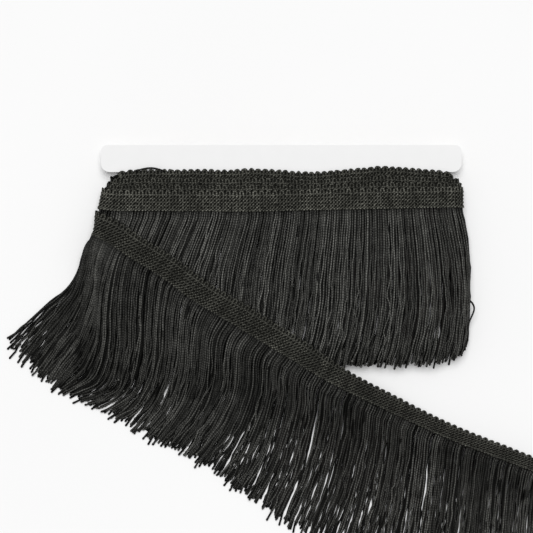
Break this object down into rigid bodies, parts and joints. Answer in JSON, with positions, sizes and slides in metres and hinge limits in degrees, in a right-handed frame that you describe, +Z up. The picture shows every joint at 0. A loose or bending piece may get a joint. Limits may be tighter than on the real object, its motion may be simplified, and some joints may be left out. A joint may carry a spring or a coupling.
{
  "type": "chainette fringe trim wound on a card",
  "caption": "Black chainette fringe wound round a flat white card, with a loose end folded over one side and laid out diagonally beside it.",
  "frame": {"origin": "on the surface it lies on, under the middle of the whole object's outline", "axes": "+X along the card to its right, +Y across the trim from the yarn tips to the card's head, +Z up from the surface"},
  "size_m": [0.3368, 0.29, 0.019],
  "materials": {
    "card": "matte white board",
    "heading": "black woven braid, slightly olive, soft sheen",
    "yarn": "black knitted chainette yarn, soft sheen"
  },
  "bodies": {
    "root": {"card": "card", "wound_heading": "heading", "wound_fringe": "yarn", "loose_heading": "heading", "loose_fringe": "yarn"}
  },
  "joints": []
}
